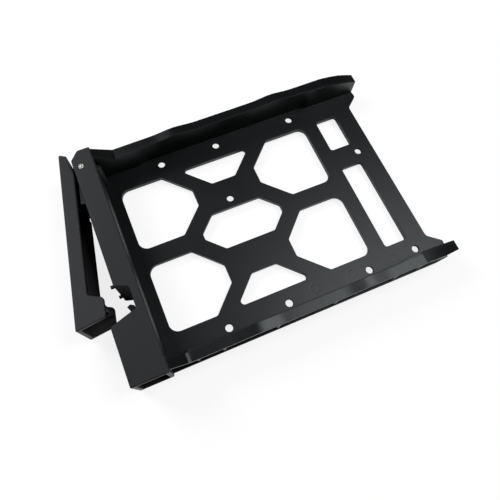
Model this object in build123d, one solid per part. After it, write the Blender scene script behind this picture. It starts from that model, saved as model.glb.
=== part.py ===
from build123d import *
import math
import os

os.makedirs("parts", exist_ok=True)

# Hot swap drive caddy, in millimetres. -X is the front with the handle, +Y is the hinge side and
# +Z is up. The origin is the centre of the four outer 3.5 inch screw holes, on the upper face of
# the plate, where the drive sits.

# Drives: 3.5 inch and 2.5 inch screw patterns
drive_width = 101.6
hole_pitch_x = 76.2
hole_pitch_y = 95.25
middle_hole_step = 31.75    # from the front pair to the middle pair
screw_hole_r = 1.9
small_pitch_x = 76.6
small_pitch_y = 61.72
small_rear_x = 65.25        # rear pair of the 2.5 inch pattern
small_far_y = 15.05         # its hinge-side row
small_hole_r = 1.85
countersink_depth = 1.1

# Plate
plate_t = 2.5
plate_drop = 1.75           # room under the plate for screw heads
plate_rear_x = 73.9         # between the rear corner tabs
tab_tip_inset = 6.2         # from the wall's outer face to a tab's inner corner
tab_slant = 5.4             # from there to where the rear edge turns
tab_reach = 0.7             # a tab's corner past the rail's end

# Cut-outs in the plate
lattice_x = -10.3           # middle of the lattice
lattice_edge_y = 40.15
lattice_web_y = 4.7         # half of the web along the middle
large_near = 17.8           # large cut-outs, from the lattice's middle
large_length = 36.2
large_cut = 12.9
large_r = 4.8
centre_length = 43.6
centre_half = 10.2
centre_cut = 8.4
wedge_inner_y = 26.6
wedge_short = 13.3
lattice_r = 1.8
slot_x = 51.5
slot_width = 12.3
slot_r = 1.5
short_slot_y = 20.6
long_slot_y = 8.5

# Side rails
drive_gap = 0.4
pad_t = 1.0                 # guide pads on the walls' inner faces
front_pad_end = -44.0
rear_pad_start = 46.0
pad_lead = 5.0              # the pads taper away over this length
rail_wall_t = 1.8
flange_reach = 3.0          # out from the wall
rail_rear_x = 79.9
flange_t = 1.8
flange_z = 14.4             # upper face of the flange
flange_front_z = 14.1
flange_rear_z = 9.3
front_ramp = 10.0
rear_ramp = 21.0
crown_rise = 1.3            # the flange's two low crowns
crown_half = 13.0
crown_xs = (-27.0, 29.0)
lip_t = 1.8
lip_reach = 2.8
rear_lead = 9.0             # flanges and lips narrow towards the rear end
rear_lead_in = 0.8
channel_rib_xs = (-56.9, -43.9, -16.4, 14.1, 47.0, 61.0)
channel_rib_t = 1.3
channel_rib_inset = 0.5

# Front bezel
bezel_rear_x = -69.9
bezel_front_x = -80.35
bezel_step = 1.15           # the bezel stands out past the flanges
bezel_height = 26.0
bezel_wall = 2.0
bezel_back_t = 1.8
corner_x = -76.1            # cut corner beside the hinge
corner_cut_y = 4.6
edge_r = 0.5
rim_bevel = 0.4             # along the bezel's upper and lower outlines
pillar_inset = 9.75         # half-round pillar in the corner behind the hinge
pillar_r = 2.1
pillar_top = 16.5

# Notch for the handle's end, and the latch block beside it
notch_y = -14.45
notch_slope = 22.0
notch_back_x = -74.15
notch_r = 2.0
ledge_gap = 0.35            # low ledge in the notch, to the closed handle
ledge_r = 1.2
toe_setback = 0.7           # the bezel's front edge above its floor
toe_height = 3.0
block_front_x = -87.1
block_y = -27.1             # block's inner corner
block_slope = 17.0
seat_wall_y = -49.4         # the latch spring's seat
seat_wall_t = 1.6
stiffener_ys = (22.0, 6.0)
stiffener_t = 1.5
stiffener_setback = 1.6
nub_reach = 1.6
nub_size = 1.4

# Handle, laid out closed and stored swung open
open_angle = 9.9
handle_rake = 0.7           # closed, the free end stands out by this angle
handle_gap = 0.15
end_gap = 0.2
free_end_gap = 0.3          # to the latch block
step_y = -15.6              # step behind the handle's free end, at the bezel's front
step_slope = 16.0
lower_reach = 0.55          # the lower wall is wider than the upper one
handle_inset = 0.5          # above and below, inside the bezel's height
handle_wall = 2.0
tail_inset = 0.55           # from the bezel's side to the handle's far end
tail_x = -83.3
tail_taper = 12.6           # length of the tapered far end
tail_wall_t = 3.2
catch_y = -21.55
catch_t = 1.4

# Hinge
pin_x = -76.5
pin_inset = 9.35            # from the bezel's side
pin_r = 1.45
pin_proud = 0.1
press_gap = 0.01
running_gap = 0.05
ear_r = 3.8
ear_t = 2.2
ear_gap = 0.6               # to the bezel's walls
boss_gap = 0.15
knuckle_x = -79.2
knuckle_rear_x = -74.2
knuckle_reach = 19.1        # from the pin to the knuckle's near end
knuckle_web_t = 1.4
knuckle_web_gap = 4.8       # from the pin to the web's far end
knuckle_rib_zs = (4.0, 12.0)
collar_r = 2.6
collar_height = 4.0

# Torsion spring round the pin
coil_r = 2.2
coil_wire_r = 0.3
coil_pitch = 0.7
coil_turns = 3              # whole turns, besides the part turn between the legs
turn_steps = 12             # straight lengths in one turn of a spring
leg_reach = 9.8             # from the pin to the legs' ends, along Y

# Release latch and its spring
latch_z = 8.75
bolt_front_x = -78.8
bolt_t = 3.4
bolt_flare = 1.1            # the bolt's head is this much wider than its neck
bolt_tip_y = -21.85
bolt_nose = 0.75            # from its tip back to the front corner, which the catch rides over
bolt_shoulder = 1.05        # and to the rear corner
bolt_head = 3.35
bolt_height = 4.0
slide_gap = 0.3
latch_travel = 2.5
slider_front_x = -82.5
slider_near_y = -43.0
slider_length = 8.0
slider_height = 8.0
neck_length = 6.0
tab_t = 1.1
tab_gap = 0.15
tab_ridge = 0.25
tab_ridge_ys = (-41.5, -39.0, -36.5)
latch_coil_r = 2.1
latch_coil_wire_r = 0.25
latch_coil_turns = 4
spigot_r = 1.5
spigot_length = 1.3

# Snap tongues that hold the bezel on the tray
tongue_length = 3.5
tongue_width = 9.0
tongue_t = 1.5
tongue_ys = (-36.0, 0.0, 36.0)
side_tongue_z = 6.0
side_tongue_height = 6.0
barb = 0.8
barb_length = 1.4
snap_gap = 0.2

# Sizes that follow from the ones above
base_z = -(plate_t + plate_drop)
bezel_top = base_z + bezel_height
wall_face_y = drive_width / 2 + drive_gap + pad_t
wall_outer_y = wall_face_y + rail_wall_t
rail_half = wall_outer_y + flange_reach
lip_half = wall_outer_y + lip_reach
bezel_half = rail_half + bezel_step
tab_tip_y = wall_outer_y - tab_tip_inset
tab_root_y = tab_tip_y - tab_slant
corner_y = bezel_half - corner_cut_y
pillar_y = bezel_half - pillar_inset
pin_y = bezel_half - pin_inset
tail_y = bezel_half - tail_inset
tail_end_y = tail_y - tail_taper
tail_wall_y = tail_y - tail_wall_t
knuckle_y = pin_y - knuckle_reach
knuckle_web_y = pin_y - knuckle_web_gap
leg_y = pin_y - leg_reach
bezel_floor = base_z + bezel_wall
bezel_ceiling = bezel_top - bezel_wall
bezel_inner_x = bezel_rear_x - bezel_back_t
handle_bottom = base_z + handle_inset
handle_top = bezel_top - handle_inset
handle_rear_x = bezel_front_x - handle_gap
handle_inner_x = notch_back_x - end_gap + (pin_y - notch_y) * math.sin(math.radians(handle_rake))
catch_shift = (pin_y - catch_y) * math.sin(math.radians(handle_rake))
bolt_rear_x = bolt_front_x + bolt_t


def box(x0, x1, y0, y1, z0, z1):
    return Pos((x0 + x1) / 2, (y0 + y1) / 2, (z0 + z1) / 2) * Box(x1 - x0, y1 - y0, z1 - z0)


def post(x, y, radius, z0, z1):
    return Pos(x, y, (z0 + z1) / 2) * Cylinder(radius, z1 - z0)


def slab(points, z0, z1):
    return extrude(Pos(0, 0, z0) * make_face(Polyline(*points, close=True)), amount=z1 - z0)


def rounded_slab(points, radii, z0, z1):
    """Slab with its upright edges rounded: one radius for each point, 0 for a sharp one."""
    solid = slab(points, z0, z1)
    for (x, y), radius in zip(points, radii):
        if radius > 0:
            middle = Vector(x, y, (z0 + z1) / 2)
            edge = min(solid.edges().filter_by(Axis.Z), key=lambda e: (e.center() - middle).length)
            solid = fillet(edge, radius)
    return solid


def mirrored(points):
    return [(x, -y) for x, y in points]


def notch_far_y(x):
    return notch_y - (x - bezel_front_x) * math.tan(math.radians(notch_slope))


def block_far_y(x):
    return block_y - (notch_back_x - x) * math.tan(math.radians(block_slope))


def step_far_y(x):
    return step_y - (x - bezel_front_x) * math.tan(math.radians(step_slope))


def bent_wire(points, radius):
    """Spring wire along the points, six-sided so that it stays light."""
    path = Polyline(*points)
    section = Plane(path @ 0, z_dir=path % 0) * RegularPolygon(radius, 6)
    return sweep(section, path, transition=Transition.RIGHT)


def swing(shape):
    """Turn a shape laid out square to the bezel to the stored, open place."""
    turn = Rot(0, 0, -open_angle - handle_rake)
    return Pos(pin_x, pin_y, 0) * turn * Pos(-pin_x, -pin_y, 0) * shape


# Tray: plate, cut-outs, screw holes, side rails

def cut_outs():
    low = -plate_t - 1
    high = 1
    tools = []
    near_x = lattice_x + large_near
    far_x = near_x + large_length
    large = [
        (near_x + large_cut, lattice_web_y), (far_x, lattice_web_y), (far_x, lattice_edge_y),
        (near_x + large_cut, lattice_edge_y), (near_x, lattice_edge_y - large_cut),
        (near_x, lattice_web_y + large_cut),
    ]
    large_radii = (lattice_r, large_r, large_r, lattice_r, lattice_r, lattice_r)
    front = [(2 * lattice_x - x, y) for x, y in large]
    for points in (large, mirrored(large), front, mirrored(front)):
        tools.append(rounded_slab(points, large_radii, low, high))
    half = centre_length / 2
    centre = [
        (half, centre_half - centre_cut), (half - centre_cut, centre_half),
        (centre_cut - half, centre_half), (-half, centre_half - centre_cut),
    ]
    centre += [(-x, -y) for x, y in centre]
    centre = [(lattice_x + x, y) for x, y in centre]
    tools.append(rounded_slab(centre, (lattice_r, ) * len(centre), low, high))
    rise = lattice_edge_y - wedge_inner_y
    wedge = [
        (lattice_x - wedge_short / 2, wedge_inner_y), (lattice_x + wedge_short / 2, wedge_inner_y),
        (lattice_x + wedge_short / 2 + rise, lattice_edge_y),
        (lattice_x - wedge_short / 2 - rise, lattice_edge_y),
    ]
    for points in (wedge, mirrored(wedge)):
        tools.append(rounded_slab(points, (lattice_r, ) * len(points), low, high))
    for y0, y1 in ((short_slot_y, lattice_edge_y), (-lattice_edge_y, long_slot_y)):
        slot = [(slot_x, y0), (slot_x + slot_width, y0), (slot_x + slot_width, y1), (slot_x, y1)]
        tools.append(rounded_slab(slot, (slot_r, ) * len(slot), low, high))
    return tools


def screw_holes():
    holes = []
    for side in (-1, 1):
        y = side * hole_pitch_y / 2
        for x in (-hole_pitch_x / 2, middle_hole_step - hole_pitch_x / 2, hole_pitch_x / 2):
            holes.append((x, y, screw_hole_r))
    near_y = small_far_y - small_pitch_y
    holes.append((small_rear_x, small_far_y, small_hole_r))
    holes.append((small_rear_x, near_y, small_hole_r))
    holes.append((small_rear_x - small_pitch_x, small_far_y, small_hole_r))
    tools = []
    for x, y, radius in holes:
        sink = Cone(radius + countersink_depth, radius, countersink_depth)
        tools.append(post(x, y, radius, -plate_t - 1, 1))
        tools.append(Pos(x, y, -plate_t + countersink_depth / 2) * sink)
    return tools


def plate():
    corner = [
        (plate_rear_x, tab_root_y), (rail_rear_x + tab_reach, tab_tip_y),
        (rail_rear_x, wall_outer_y), (bezel_rear_x, wall_outer_y),
    ]
    points = corner + [(x, -y) for x, y in reversed(corner)]
    radii = (3.0, 1.6, 0, 0, 0, 0, 1.6, 3.0)
    return rounded_slab(points, radii, -plate_t, 0)


def flange_line(drop):
    """Upper line of the flange seen from the side, lowered by drop."""
    top = bezel_top - edge_r - drop
    low = flange_front_z - drop
    level = flange_z - drop
    ramp_end = bezel_rear_x + front_ramp
    start = (bezel_rear_x, top)
    edges = [Line(start, (ramp_end, low))]
    here = (ramp_end, low)
    for x in crown_xs:
        foot = (x - crown_half, level)
        edges.append(Line(here, foot))
        here = (x + crown_half, level)
        edges.append(Spline(foot, (x, level + crown_rise), here, tangents=[(1, 0), (1, 0)]))
    ramp_start = (rail_rear_x - rear_ramp, level)
    end = (rail_rear_x, flange_rear_z - drop)
    middle = (rail_rear_x - rear_ramp * 0.55, level - 0.33 * (level + drop - flange_rear_z))
    edges.append(Line(here, ramp_start))
    edges.append(ThreePointArc(ramp_start, middle, end))
    return edges, start, end


def side_sheet(drop, y0, y1, floor=None):
    """Sheet under the flange line from y0 to y1: down to the floor, or one flange thick."""
    upper, start, end = flange_line(drop)
    if floor is None:
        lower, low_start, low_end = flange_line(drop + flange_t)
    else:
        low_start = (start[0], floor)
        low_end = (end[0], floor)
        lower = [Line(low_start, low_end)]
    outline = Curve() + upper + lower + [Line(start, low_start), Line(end, low_end)]
    face = make_face(outline)
    return extrude(Plane.XZ.offset(-y0) * face, amount=-(y1 - y0))


def rail():
    """The +Y rail: wall, flange, lip, ribs and guide pads."""
    wall = side_sheet(0, wall_face_y, wall_outer_y, base_z)
    flange = side_sheet(0, wall_face_y, rail_half)
    shape = wall + flange
    shape += box(bezel_rear_x, rail_rear_x, wall_face_y, lip_half, base_z, base_z + lip_t)
    lead = [
        (rail_rear_x - rear_lead, rail_half), (rail_rear_x, rail_half - rear_lead_in),
        (rail_rear_x + 1, rail_half - rear_lead_in), (rail_rear_x + 1, rail_half + 1),
    ]
    shape -= slab(lead, base_z - 1, bezel_top)
    full = side_sheet(flange_t / 2, wall_outer_y - 0.2, lip_half - channel_rib_inset, base_z)
    for x in channel_rib_xs:
        band = box(x - channel_rib_t / 2, x + channel_rib_t / 2, 0, rail_half, base_z, bezel_top)
        shape += full & band
    pads = side_sheet(0, wall_face_y - pad_t, wall_face_y + 0.2, -plate_t)
    pad_face = wall_face_y - pad_t
    middle = [
        (front_pad_end - pad_lead, pad_face - 1), (front_pad_end - pad_lead, pad_face),
        (front_pad_end, wall_face_y), (front_pad_end, rail_half), (rear_pad_start, rail_half),
        (rear_pad_start, wall_face_y), (rear_pad_start + pad_lead, pad_face),
        (rear_pad_start + pad_lead, pad_face - 1),
    ]
    return shape + (pads - slab(middle, base_z, bezel_top))


def tongue(y):
    front = bezel_rear_x - tongue_length
    z0 = bezel_floor + snap_gap
    z1 = z0 + tongue_t
    half = tongue_width / 2
    arm = box(front, bezel_rear_x + 1, y - half, y + half, z0, z1)
    hook_points = [
        (front, z1 - 0.1), (front, z1 + 0.1), (front + barb_length, z1 + barb),
        (front + barb_length, z1 - 0.1),
    ]
    hook = extrude(Plane.XZ.offset(half - y) * make_face(Polyline(*hook_points, close=True)),
                   amount=-tongue_width)
    return arm + hook


def side_tongue():
    front = bezel_rear_x - tongue_length
    y0 = wall_face_y + snap_gap
    y1 = y0 + tongue_t
    arm = [(front, y0), (bezel_rear_x + 1, y0), (bezel_rear_x + 1, y1),
           (front + barb_length, y1), (front + barb_length, y1 + barb), (front, y1 + 0.1)]
    return slab(arm, side_tongue_z, side_tongue_z + side_tongue_height)


def tray():
    right = rail() + side_tongue()
    shape = plate() + right + mirror(right, Plane.XZ)
    for y in tongue_ys:
        shape += tongue(y)
    for tool in cut_outs() + screw_holes():
        shape -= tool
    return shape


# Front bezel

def bezel_shell():
    points = [
        (bezel_rear_x, bezel_half), (corner_x, bezel_half), (bezel_front_x, corner_y),
        (bezel_front_x, notch_far_y(bezel_front_x)), (notch_back_x, notch_far_y(notch_back_x)),
        (notch_back_x, block_y), (block_front_x, block_far_y(block_front_x)),
        (block_front_x, -bezel_half), (bezel_rear_x, -bezel_half),
    ]
    radii = (0.6, 1.5, 1.5, 0.5, notch_r, 0.8, 0.8, 0.6, 0.6)
    shape = rounded_slab(points, radii, base_z, bezel_top)
    rims = shape.faces().filter_by(Axis.Z).edges()
    return chamfer(rims, rim_bevel)


def bezel_hollows():
    wall = bezel_wall / math.cos(math.radians(notch_slope))
    front = block_front_x - 5
    main = [
        (bezel_inner_x, bezel_half - bezel_wall), (front, bezel_half - bezel_wall),
        (front, notch_far_y(front) + wall), (bezel_inner_x, notch_far_y(bezel_inner_x) + wall),
    ]
    behind = [
        (notch_back_x - 0.1, notch_far_y(notch_back_x)),
        (bezel_inner_x, notch_far_y(bezel_inner_x)), (bezel_inner_x, block_far_y(bezel_inner_x)),
        (notch_back_x - 0.1, block_far_y(notch_back_x - 0.1)),
    ]
    left = block_front_x + bezel_wall
    skin = bezel_wall / math.cos(math.radians(block_slope))
    chamber = [
        (left, block_far_y(left) - skin), (bezel_inner_x, block_far_y(bezel_inner_x) - skin),
        (bezel_inner_x, seat_wall_y), (left, seat_wall_y),
    ]
    pocket_y = seat_wall_y - seat_wall_t
    pocket = [
        (left, pocket_y), (bezel_inner_x, pocket_y), (bezel_inner_x, -bezel_half - 1),
        (left, -bezel_half - 1),
    ]
    return [slab(points, bezel_floor, bezel_ceiling) for points in (main, behind, chamber, pocket)]


def latch_openings():
    low = latch_z - bolt_height / 2 - slide_gap
    high = latch_z + bolt_height / 2 + slide_gap
    bolt_slot = box(bolt_front_x - slide_gap, bolt_rear_x + slide_gap,
                    block_far_y(bolt_front_x) - 2 * bezel_wall, block_y + bezel_wall, low, high)
    neck_near = slider_near_y + (slider_length - neck_length) / 2
    tab_slot = box(block_front_x - 1, block_front_x + bezel_wall + 1,
                   neck_near - latch_travel - slide_gap, neck_near + neck_length + slide_gap,
                   low, high)
    hatch = box(slider_front_x - 1, bolt_rear_x + 1, seat_wall_y + 1,
                slider_near_y + slider_length + 0.5, base_z - 1, bezel_floor + 1)
    return [bolt_slot, tab_slot, hatch]


def snap_windows():
    tools = []
    x0 = bezel_inner_x - 0.5
    x1 = bezel_rear_x + 0.5
    z0 = bezel_floor
    z1 = bezel_floor + 2 * snap_gap + tongue_t
    half = tongue_width / 2 + snap_gap
    for y in tongue_ys:
        tools.append(box(x0, x1, y - half, y + half, z0, z1))
    for side in (-1, 1):
        inner = side * wall_face_y
        outer = side * (wall_face_y + tongue_t + 2 * snap_gap)
        tools.append(box(x0, x1, min(inner, outer), max(inner, outer), side_tongue_z - snap_gap,
                         side_tongue_z + side_tongue_height + snap_gap))
    return tools


def notch_ledge():
    """Low ledge on the notch's far wall, level with the bezel's floor."""
    rear = notch_back_x + 0.5
    points = [
        (bezel_front_x, notch_far_y(bezel_front_x) + 1),
        (bezel_front_x, step_far_y(bezel_front_x) + ledge_gap),
        (rear, step_far_y(rear) + ledge_gap), (rear, notch_far_y(rear) + 1),
    ]
    return rounded_slab(points, (0, ledge_r, 0, 0), base_z, bezel_floor)


def bezel():
    shape = bezel_shell()
    for hollow in bezel_hollows():
        shape -= hollow
    shape -= box(bezel_front_x - 1, bezel_front_x + toe_setback,
                 notch_far_y(bezel_front_x) - 1, corner_y - 2, base_z - 1, base_z + toe_height)
    shape += notch_ledge()
    for y in stiffener_ys:
        shape += box(bezel_front_x + stiffener_setback, bezel_inner_x + 0.5, y - stiffener_t / 2,
                     y + stiffener_t / 2, bezel_floor - 0.5, bezel_ceiling + 0.5)
    nub_y = notch_far_y(bezel_front_x) + nub_size / 2 + 0.2
    for z in (bezel_floor + nub_size, bezel_ceiling - nub_size):
        shape += box(bezel_front_x - nub_reach, bezel_front_x + 1, nub_y - nub_size / 2,
                     nub_y + nub_size / 2, z - nub_size / 2, z + nub_size / 2)
    boss_height = ear_gap - boss_gap
    shape += post(pin_x, pin_y, ear_r - 0.6, bezel_floor - 0.5, bezel_floor + boss_height)
    shape += post(pin_x, pin_y, ear_r - 0.6, bezel_ceiling - boss_height, bezel_ceiling + 0.5)
    pillar = post(bezel_rear_x, pillar_y, pillar_r, 0, pillar_top)
    pillar = fillet(pillar.edges().sort_by(Axis.Z)[-1], pillar_r / 2)
    shape += pillar - box(bezel_rear_x - 5, bezel_rear_x - 0.5, 0, bezel_half, -1, bezel_top)
    spigot = Rot(90, 0, 0) * Cylinder(spigot_r, spigot_length + 0.5)
    coil_x = (slider_front_x + bolt_rear_x) / 2
    shape += Pos(coil_x, seat_wall_y + (spigot_length - 0.5) / 2, latch_z) * spigot
    for tool in latch_openings() + snap_windows():
        shape -= tool
    return shape - post(pin_x, pin_y, pin_r + press_gap, base_z - 1, bezel_top + 1)


# Handle with its hinge knuckle and catch

def handle_body():
    end_y = block_far_y(handle_rear_x) + free_end_gap
    points = [
        (block_front_x, tail_y), (tail_x, tail_y - 1.4), (handle_rear_x, tail_end_y),
        (handle_rear_x, step_far_y(handle_rear_x)), (handle_inner_x, step_far_y(handle_inner_x)),
        (handle_inner_x, block_far_y(handle_inner_x) + free_end_gap),
        (block_front_x, block_far_y(block_front_x) + free_end_gap),
    ]
    radii = (0.8, 0.8, 1.5, notch_r, notch_r, 0.6, 0.6)
    shape = rounded_slab(points, radii, handle_bottom, handle_top)
    shape += box(handle_rear_x - 1, handle_rear_x + lower_reach, step_far_y(handle_rear_x) - 1,
                 knuckle_y, handle_bottom, handle_bottom + handle_wall)
    front = shape.faces().sort_by(Axis.X)[0]
    shape = fillet(front.edges().filter_by(Axis.Y), edge_r)
    hollow = box(block_front_x + handle_wall, bezel_rear_x, end_y - 10, tail_wall_y,
                 handle_bottom + handle_wall, handle_top - handle_wall)
    return shape - hollow


def knuckle():
    top_ear = bezel_ceiling - ear_gap
    low_ear = bezel_floor + ear_gap
    front_wall_x = block_front_x + handle_wall
    shape = box(knuckle_x, knuckle_x + knuckle_web_t, knuckle_y, knuckle_web_y, low_ear, top_ear)
    for z0 in (low_ear, top_ear - ear_t):
        shape += box(knuckle_x, knuckle_rear_x, knuckle_y, pin_y, z0, z0 + ear_t)
        shape += post(pin_x, pin_y, ear_r, z0, z0 + ear_t)
    for z in knuckle_rib_zs:
        shape += box(front_wall_x - 0.5, knuckle_x + 0.5, knuckle_y, knuckle_web_y, z,
                     z + knuckle_web_t)
    for y in (knuckle_y, knuckle_web_y - knuckle_web_t):
        shape += box(front_wall_x - 0.5, knuckle_x + 0.5, y, y + knuckle_web_t,
                     knuckle_rib_zs[0], knuckle_rib_zs[1] + knuckle_web_t)
    shape += post(pin_x, pin_y, collar_r, low_ear, low_ear + ear_t + collar_height)
    return shape - post(pin_x, pin_y, pin_r + running_gap, base_z, bezel_top)


def catch():
    rib = box(block_front_x + handle_wall - 0.5, handle_inner_x, catch_y - catch_t / 2,
              catch_y + catch_t / 2, handle_bottom + 1, handle_top - 1)
    window = box(bolt_front_x - slide_gap, bolt_rear_x + slide_gap, catch_y - catch_t,
                 catch_y + catch_t, latch_z - bolt_height / 2 - 2 * slide_gap,
                 latch_z + bolt_height / 2 + 2 * slide_gap)
    return rib - Pos(catch_shift, 0, 0) * window


def handle():
    return swing(handle_body() + knuckle() + catch())


# Hinge pin and its torsion spring

def hinge_pin():
    top = bezel_top + pin_proud
    shape = post(pin_x, pin_y, pin_r, base_z + 0.2, top)
    shape = chamfer(shape.edges().filter_by(GeomType.CIRCLE), 0.15)
    return shape - post(pin_x, pin_y, pin_r / 3, top - 0.6, top + 1)


def leg_start(target, turn):
    """Angle, in degrees, at which a straight leg to the target leaves the coil."""
    dx = target[0] - pin_x
    dy = target[1] - pin_y
    reach = math.hypot(dx, dy)
    return math.degrees(math.atan2(dy, dx)) + turn * math.degrees(math.acos(coil_r / reach))


def handle_spring():
    web_face = Vector(knuckle_x + knuckle_web_t + coil_wire_r + 0.05, leg_y, 0)
    moved = swing(Pos(web_face)).position
    handle_end = (moved.X, moved.Y)
    wall_end = (bezel_inner_x - coil_wire_r - 0.05, leg_y)
    start = leg_start(wall_end, -1)
    finish = leg_start(handle_end, 1)
    sweep_angle = (start - finish) % 360 + 360 * coil_turns
    steps = round(turn_steps * sweep_angle / 360)
    z0 = bezel_floor + ear_gap + ear_t + collar_height + coil_wire_r + 0.1
    rise = coil_pitch * sweep_angle / 360
    points = [(wall_end[0], wall_end[1], z0)]
    for step in range(steps + 1):
        angle = math.radians(start - sweep_angle * step / steps)
        points.append((pin_x + coil_r * math.cos(angle), pin_y + coil_r * math.sin(angle),
                       z0 + rise * step / steps))
    points.append((handle_end[0], handle_end[1], z0 + rise))
    return bent_wire(points, coil_wire_r)


# Release latch and its spring

def release_latch():
    half = slider_height / 2
    low = latch_z - bolt_height / 2
    high = latch_z + bolt_height / 2
    far_y = slider_near_y + slider_length
    shape = box(slider_front_x, bolt_rear_x, slider_near_y, far_y, latch_z - half, latch_z + half)
    neck_x = bolt_front_x + bolt_flare
    bolt = [
        (neck_x, far_y - 1), (bolt_rear_x, far_y - 1), (bolt_rear_x, bolt_tip_y - bolt_shoulder),
        (bolt_rear_x - bolt_t / 2, bolt_tip_y), (bolt_front_x, bolt_tip_y - bolt_nose),
        (neck_x, bolt_tip_y - bolt_head),
    ]
    shape += slab(bolt, low, high)
    neck_near = slider_near_y + (slider_length - neck_length) / 2
    tab_rear = block_front_x - tab_gap
    tab_front = tab_rear - tab_t
    shape += box(tab_front, slider_front_x + 1, neck_near, neck_near + neck_length, low, high)
    thumb_tab = box(tab_front, tab_rear, slider_near_y, far_y, latch_z - half, latch_z + half)
    shape += fillet(thumb_tab.edges().filter_by(Axis.X), 1.0)
    for y in tab_ridge_ys:
        shape += box(tab_front - tab_ridge, tab_front + 0.5, y - 0.5, y + 0.5,
                     latch_z - half + 1.5, latch_z + half - 1.5)
    coil_x = (slider_front_x + bolt_rear_x) / 2
    spigot = Rot(90, 0, 0) * Cylinder(spigot_r, spigot_length + 0.5)
    return shape + Pos(coil_x, slider_near_y - (spigot_length - 0.5) / 2, latch_z) * spigot


def latch_spring():
    coil_x = (slider_front_x + bolt_rear_x) / 2
    y0 = slider_near_y - latch_coil_wire_r
    length = y0 - latch_coil_wire_r - seat_wall_y
    steps = turn_steps * latch_coil_turns
    points = []
    for step in range(steps + 1):
        angle = 2 * math.pi * step / turn_steps
        points.append((coil_x + latch_coil_r * math.cos(angle), y0 - length * step / steps,
                       latch_z + latch_coil_r * math.sin(angle)))
    return bent_wire(points, latch_coil_wire_r)


export_step(tray(), "parts/tray.step")
export_step(bezel(), "parts/front_bezel.step")
export_step(handle(), "parts/handle.step")
export_step(hinge_pin(), "parts/hinge_pin.step")
export_step(handle_spring(), "parts/handle_spring.step")
export_step(release_latch(), "parts/release_latch.step")
export_step(latch_spring(), "parts/latch_spring.step")
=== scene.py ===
import bpy
from mathutils import Matrix, Vector


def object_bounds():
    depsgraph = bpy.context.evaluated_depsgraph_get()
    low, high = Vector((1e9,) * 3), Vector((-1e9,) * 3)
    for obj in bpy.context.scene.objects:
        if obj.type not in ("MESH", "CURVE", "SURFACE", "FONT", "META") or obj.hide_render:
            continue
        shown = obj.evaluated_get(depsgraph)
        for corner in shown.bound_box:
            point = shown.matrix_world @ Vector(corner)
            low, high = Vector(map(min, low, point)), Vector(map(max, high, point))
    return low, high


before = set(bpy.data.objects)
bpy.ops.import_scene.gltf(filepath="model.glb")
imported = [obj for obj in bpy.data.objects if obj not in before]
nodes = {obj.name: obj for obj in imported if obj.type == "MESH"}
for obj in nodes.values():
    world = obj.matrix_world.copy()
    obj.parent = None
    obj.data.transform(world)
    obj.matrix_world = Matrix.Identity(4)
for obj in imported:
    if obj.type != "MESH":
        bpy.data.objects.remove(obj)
cadLow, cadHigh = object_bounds()
print("frame loaded", tuple(round(v, 4) for v in cadHigh - cadLow))


def newMaterial(name):
    mat = bpy.data.materials.new(name)
    mat.use_nodes = True
    return mat, mat.node_tree.nodes, mat.node_tree.links


def fill(links, socket, value):
    # a socket is linked and a plain value is set
    if isinstance(value, bpy.types.NodeSocket):
        links.new(value, socket)
    elif value is not None:
        socket.default_value = value


def mathNode(tree, links, operation, first, second=None):
    node = tree.new("ShaderNodeVectorMath" if operation == "DISTANCE" else "ShaderNodeMath")
    node.operation = operation
    fill(links, node.inputs[0], first)
    fill(links, node.inputs[1], second)
    return node.outputs["Value"]


def mapRange(tree, links, value, start, end, low=0, high=1):
    node = tree.new("ShaderNodeMapRange")
    fill(links, node.inputs["Value"], value)
    fill(links, node.inputs["From Min"], start)
    fill(links, node.inputs["From Max"], end)
    fill(links, node.inputs["To Min"], low)
    fill(links, node.inputs["To Max"], high)
    return node.outputs["Result"]


def noise(tree, links, place, scale, detail, roughness=0.5):
    node = tree.new("ShaderNodeTexNoise")
    fill(links, node.inputs["Vector"], place)
    fill(links, node.inputs["Scale"], scale)
    fill(links, node.inputs["Detail"], detail)
    fill(links, node.inputs["Roughness"], roughness)
    return node.outputs["Fac"]


def mixColour(tree, links, amount, first, second):
    mix = tree.new("ShaderNodeMix")
    mix.data_type = "RGBA"
    fill(links, mix.inputs["Factor"], amount)
    fill(links, mix.inputs["A"], first)
    fill(links, mix.inputs["B"], second)
    return mix.outputs["Result"]


def relief(tree, links, height, strength, depth, under=None):
    bump = tree.new("ShaderNodeBump")
    fill(links, bump.inputs["Height"], height)
    fill(links, bump.inputs["Strength"], strength)
    fill(links, bump.inputs["Distance"], depth)
    fill(links, bump.inputs["Normal"], under)
    return bump.outputs["Normal"]


def paintedLightEnd(tree, links, look, axes, paint):
    # painted light: the grip is painted paler towards its free end, where the light falls brighter
    along = mapRange(tree, links, axes["Y"], look["paintedLightFrom"], look["paintedLightTo"])
    return mixColour(tree, links, along, paint, look["pale"])


def creaseHighlight(tree, links, look, axes, paint):
    # a painted highlight: one short pale strip across a flange, at the foot of its front ramp,
    # where the crease catches the light
    middle, outer, above = look["creaseHighlightAt"]
    off = mathNode(tree, links, "ABSOLUTE", mathNode(tree, links, "SUBTRACT", axes["X"], middle))
    here = mathNode(tree, links, "LESS_THAN", off, look["creaseHighlightHalf"])
    onFlange = mathNode(tree, links, "LESS_THAN", axes["Y"], outer)
    onTop = mathNode(tree, links, "GREATER_THAN", axes["Z"], above)
    onFlangeTop = mathNode(tree, links, "MULTIPLY", onFlange, onTop)
    amount = mathNode(tree, links, "MULTIPLY", here, onFlangeTop)
    return mixColour(tree, links, amount, paint, look["creaseHighlight"])


def polished(tree, links, look, axes, roughness):
    # the rails come from a smoother part of the mould than the plate between them
    out = mathNode(tree, links, "ABSOLUTE", axes["Y"])
    onRail = mathNode(tree, links, "GREATER_THAN", out, look["polishedFrom"])
    change = mathNode(tree, links, "MULTIPLY", onRail, look["polishedRough"] - look["rough"])
    return mathNode(tree, links, "ADD", roughness, change)


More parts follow.
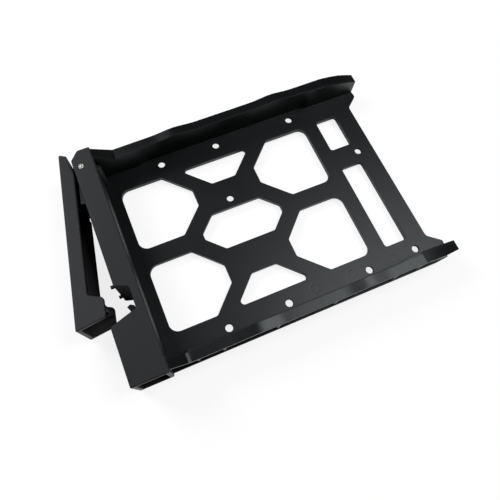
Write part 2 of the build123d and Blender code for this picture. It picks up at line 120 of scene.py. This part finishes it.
def ejectorMarks(tree, links, look, place, under):
    # fine rings that the mould's ejector pins leave in the plate
    nearest = None
    for centre in look["pinMarks"]:
        apart = mathNode(tree, links, "DISTANCE", place, centre)
        past = mathNode(tree, links, "SUBTRACT", apart, look["pinRadius"])
        fromRing = mathNode(tree, links, "ABSOLUTE", past)
        if nearest is None:
            nearest = fromRing
        else:
            nearest = mathNode(tree, links, "MINIMUM", nearest, fromRing)
    groove = mapRange(tree, links, nearest, 0, look["pinLine"])
    return relief(tree, links, groove, 1, look["pinDepth"], under)


def plastic(name, look):
    mat, tree, links = newMaterial(name)
    shader = tree["Principled BSDF"]
    place = tree.new("ShaderNodeTexCoord").outputs["Object"]
    split = tree.new("ShaderNodeSeparateXYZ")
    links.new(place, split.inputs["Vector"])
    axes = split.outputs

    # slow mottling of colour and gloss, as in a large moulding
    mottle = noise(tree, links, place, look["mottleScale"], look["mottleDetail"])
    paint = mixColour(tree, links, mottle, look["dark"], look["light"])
    if "paintedLightFrom" in look:
        paint = paintedLightEnd(tree, links, look, axes, paint)
    if "creaseHighlightAt" in look:
        paint = creaseHighlight(tree, links, look, axes, paint)
    links.new(paint, shader.inputs["Base Color"])
    smoothest = look["rough"] - look["roughSpread"]
    dullest = look["rough"] + look["roughSpread"]
    start, end = look["mottleRange"]
    roughness = mapRange(tree, links, mottle, start, end, smoothest, dullest)
    if "polishedFrom" in look:
        roughness = polished(tree, links, look, axes, roughness)
    links.new(roughness, shader.inputs["Roughness"])
    shader.inputs["Specular IOR Level"].default_value = look["specular"]
    shader.inputs["Specular Tint"].default_value = look["tint"]

    # edges catch the light as if lightly rounded, under a spark-eroded grain
    edge = tree.new("ShaderNodeBevel")
    edge.samples = look["edgeSamples"]
    edge.inputs["Radius"].default_value = look["edge"]
    grain = noise(tree, links, place, look["grainScale"], look["grainDetail"], look["grainBreak"])
    surface = relief(tree, links, grain, look["grain"], look["grainDepth"], edge.outputs["Normal"])
    if "pinMarks" in look:
        surface = ejectorMarks(tree, links, look, place, surface)
    links.new(surface, shader.inputs["Normal"])
    return mat


# what all four plastics share, in metres where a length is meant
mouldingLook = {
    "mottleDetail": 3, "mottleRange": (0.3, 0.7),
    "grainDetail": 4, "grainBreak": 0.65, "edgeSamples": 6,
}
trayLook = {
    **mouldingLook,
    "dark": (0.0018, 0.0020, 0.0024, 1), "light": (0.0028, 0.0030, 0.0034, 1), "mottleScale": 28,
    "rough": 0.42, "roughSpread": 0.03, "specular": 0.5, "tint": (0.91, 0.97, 1, 1),
    "grainScale": 2600, "grain": 0.25, "grainDepth": 0.00003, "edge": 0.0004,
    "polishedFrom": 0.0526, "polishedRough": 0.36,
    # the pale strip at the foot of the near flange's ramp is a painted highlight
    "creaseHighlightAt": (-0.0608, -0.0526, 0.0125), "creaseHighlightHalf": 0.0006, "creaseHighlight": (0.16, 0.165, 0.175, 1),
    "pinMarks": ((0.0085, -0.0456, 0), (0.0291, -0.0458, 0), (0.0524, -0.0462, 0)),
    "pinRadius": 0.0021, "pinLine": 0.0007, "pinDepth": 0.00003,
}
bezelLook = {
    **mouldingLook,
    "dark": (0.0138, 0.0138, 0.0148, 1), "light": (0.0190, 0.0190, 0.0200, 1), "mottleScale": 35,
    "rough": 0.55, "roughSpread": 0.04, "specular": 0.5, "tint": (0.92, 0.963, 1, 1),
    "grainScale": 1900, "grain": 0.6, "grainDepth": 0.00005, "edge": 0.0005,
}
handleLook = {
    **mouldingLook,
    "dark": (0.0124, 0.0124, 0.0134, 1), "light": (0.0172, 0.0172, 0.0184, 1), "mottleScale": 32,
    "rough": 0.56, "roughSpread": 0.04, "specular": 0.5, "tint": (0.935, 0.955, 1, 1),
    "grainScale": 1900, "grain": 0.6, "grainDepth": 0.00005, "edge": 0.0005,
    # the paler free end below is painted light
    "paintedLightFrom": 0.045, "paintedLightTo": -0.025, "pale": (0.031, 0.031, 0.034, 1),
}
latchLook = {
    **mouldingLook,
    "dark": (0.011, 0.0113, 0.012, 1), "light": (0.017, 0.0174, 0.0182, 1), "mottleScale": 60,
    "rough": 0.5, "roughSpread": 0.05, "specular": 0.3, "tint": (0.91, 0.97, 1, 1),
    "grainScale": 2200, "grain": 0.4, "grainDepth": 0.00003, "edge": 0.0003,
}
trayPlastic = plastic("trayPlastic", trayLook)
bezelPlastic = plastic("bezelPlastic", bezelLook)
handlePlastic = plastic("handlePlastic", handleLook)
latchPlastic = plastic("latchPlastic", latchLook)
print("plastics ready")


def steel(name, look):
    mat, tree, links = newMaterial(name)
    shader = tree["Principled BSDF"]
    shader.inputs["Metallic"].default_value = 1
    # fine drawing streaks in colour, gloss and relief
    stretch = tree.new("ShaderNodeMapping")
    stretch.inputs["Scale"].default_value = look["stretch"]
    links.new(tree.new("ShaderNodeTexCoord").outputs["Object"], stretch.inputs["Vector"])
    streak = noise(tree, links, stretch.outputs["Vector"], look["scale"], look["detail"])
    paint = mixColour(tree, links, streak, look["dark"], look["light"])
    links.new(paint, shader.inputs["Base Color"])
    smoothest = look["rough"] - look["roughSpread"]
    dullest = look["rough"] + look["roughSpread"]
    roughness = mapRange(tree, links, streak, 0, 1, smoothest, dullest)
    links.new(roughness, shader.inputs["Roughness"])
    surface = relief(tree, links, streak, look["grain"], look["grainDepth"])
    links.new(surface, shader.inputs["Normal"])
    return mat


# what pin and springs share
drawnLook = {"detail": 3, "roughSpread": 0.08, "grain": 0.2, "grainDepth": 0.00002}
pinLook = {
    **drawnLook,
    "dark": (0.70, 0.69, 0.67, 1), "light": (0.90, 0.89, 0.87, 1),
    "stretch": (1, 1, 0.2), "scale": 3000, "rough": 0.28,
}
springLook = {
    **drawnLook,
    "dark": (0.35, 0.35, 0.35, 1), "light": (0.6, 0.6, 0.6, 1),
    "stretch": (1, 1, 1), "scale": 1500, "rough": 0.35,
}
pinSteel = steel("pinSteel", pinLook)
springSteel = steel("springSteel", springLook)

finishes = {
    "tray": trayPlastic, "front_bezel": bezelPlastic, "handle": handlePlastic,
    "release_latch": latchPlastic, "hinge_pin": pinSteel, "handle_spring": springSteel,
    "latch_spring": springSteel,
}
for name, mat in finishes.items():
    for slot in nodes[name].material_slots:
        slot.material = mat
print("materials on", len(nodes), "nodes")


def laidOver(tree, links, share, under, over):
    # the second shader covers the first by a share from 0 to 1
    blend = tree.new("ShaderNodeMixShader")
    fill(links, blend.inputs["Fac"], share)
    links.new(under, blend.inputs[1])
    links.new(over, blend.inputs[2])
    return blend.outputs["Shader"]


# floor
floorLook = {
    "size": 6, "below": 0.0001, "white": (1, 1, 1, 1), "paper": (0.9, 0.9, 0.9, 1),
    "rough": 0.9, "lampShare": 0.35, "glow": 0.83,
    "shadeSamples": 8, "shadeReach": 0.06, "shadeFull": 0.42, "shadeNone": 0.62,
}


def floorPaper(look):
    mat, tree, links = newMaterial("floorPaper")
    shader = tree["Principled BSDF"]
    shader.inputs["Base Color"].default_value = look["paper"]
    shader.inputs["Roughness"].default_value = look["rough"]
    rays = tree.new("ShaderNodeLightPath").outputs
    white = tree.new("ShaderNodeEmission")
    white.inputs["Color"].default_value = look["white"]
    # the camera sees white paper that keeps a share of the lamps' light, so the shadow shows
    cameraShare = 1 - look["lampShare"]
    lift = look["glow"] / cameraShare - 1
    extra = mathNode(tree, links, "MULTIPLY", rays["Is Camera Ray"], lift)
    links.new(mathNode(tree, links, "ADD", extra, 1), white.inputs["Strength"])
    cameraSees = mathNode(tree, links, "MULTIPLY", rays["Is Camera Ray"], cameraShare)
    # gloss sees white paper too, but not the paper that the caddy shades
    shade = tree.new("ShaderNodeAmbientOcclusion")
    shade.samples = look["shadeSamples"]
    shade.inputs["Distance"].default_value = look["shadeReach"]
    outside = mapRange(tree, links, shade.outputs["AO"], look["shadeFull"], look["shadeNone"])
    glossSees = mathNode(tree, links, "MULTIPLY", rays["Is Glossy Ray"], outside)
    seen = mathNode(tree, links, "MAXIMUM", cameraSees, glossSees)
    shown = laidOver(tree, links, seen, shader.outputs["BSDF"], white.outputs["Emission"])
    links.new(shown, tree["Material Output"].inputs["Surface"])
    return mat


bpy.ops.object.select_all(action="DESELECT")
floorHeight = cadLow.z - floorLook["below"]
bpy.ops.mesh.primitive_plane_add(size=floorLook["size"], location=(0, 0, floorHeight))
floor = bpy.context.object
floor.name = "floor"
floor.data.materials.append(floorPaper(floorLook))

# faint light from all round, and a backdrop as pale as the far floor
worldLook = {"fill": (0.95, 0.97, 1, 1), "strength": 0.006, "white": (1, 1, 1, 1)}
world = bpy.data.worlds.new("studio")
bpy.context.scene.world = world
world.use_nodes = True
tree = world.node_tree.nodes
links = world.node_tree.links
around = tree["Background"]
around.inputs["Color"].default_value = worldLook["fill"]
around.inputs["Strength"].default_value = worldLook["strength"]
backdrop = tree.new("ShaderNodeBackground")
backdrop.inputs["Color"].default_value = worldLook["white"]
backdrop.inputs["Strength"].default_value = floorLook["glow"]
rays = tree.new("ShaderNodeLightPath").outputs
shown = laidOver(tree, links, rays["Is Camera Ray"], around.outputs["Background"],
                   backdrop.outputs["Background"])
links.new(shown, tree["World Output"].inputs["Surface"])

# square softboxes, all aimed at the middle of the caddy
lampLook = {
    "side": 0.35,
    "keyLight": {"from": (0.36, -0.04, 0.704), "watts": 2.3},
    "fillLight": {"from": (-0.4, 0.48, 0.496), "watts": 2.7},
    "rimLight": {"from": (-0.4, 0, 0.696), "watts": 0.47},
}
middle = (cadLow + cadHigh) / 2


def softbox(name, look, side):
    place = middle + Vector(look["from"])
    bpy.ops.object.select_all(action="DESELECT")
    bpy.ops.object.light_add(type="AREA", location=place)
    lamp = bpy.context.object
    lamp.name = name
    lamp.data.shape = "RECTANGLE"
    lamp.data.size = side
    lamp.data.size_y = side
    lamp.data.energy = look["watts"]
    lamp.rotation_euler = (middle - place).to_track_quat("-Z", "Y").to_euler()


for name in ("keyLight", "fillLight", "rimLight"):
    softbox(name, lampLook[name], lampLook["side"])
print("studio ready")

# camera, with the directions of its right, its underside and its view
cameraLook = {
    "place": (-0.05697, -0.078076, 0.218957),
    "right": (0.92417837, -0.38170752, 0.01391802),
    "down": (-0.35386991, -0.86935679, -0.34495631),
    "ahead": (0.14377215, 0.31387599, -0.93851555),
    "sensor": 36, "lens": 32.893, "shiftX": 0.0531, "shiftY": -0.022, "nearest": 0.01,
}
bpy.ops.object.select_all(action="DESELECT")
bpy.ops.object.camera_add(location=cameraLook["place"])
camera = bpy.context.object
camera.name = "mainCamera"
up = -Vector(cameraLook["down"])
back = -Vector(cameraLook["ahead"])
turn = Matrix((cameraLook["right"], up, back)).transposed()
camera.matrix_world = Matrix.Translation(cameraLook["place"]) @ turn.to_4x4()
camera.data.sensor_width = cameraLook["sensor"]
camera.data.lens = cameraLook["lens"]
camera.data.shift_x = cameraLook["shiftX"]
camera.data.shift_y = cameraLook["shiftY"]
camera.data.clip_start = cameraLook["nearest"]
bpy.context.scene.camera = camera
bpy.context.scene.view_settings.view_transform = "Standard"
print("camera set")
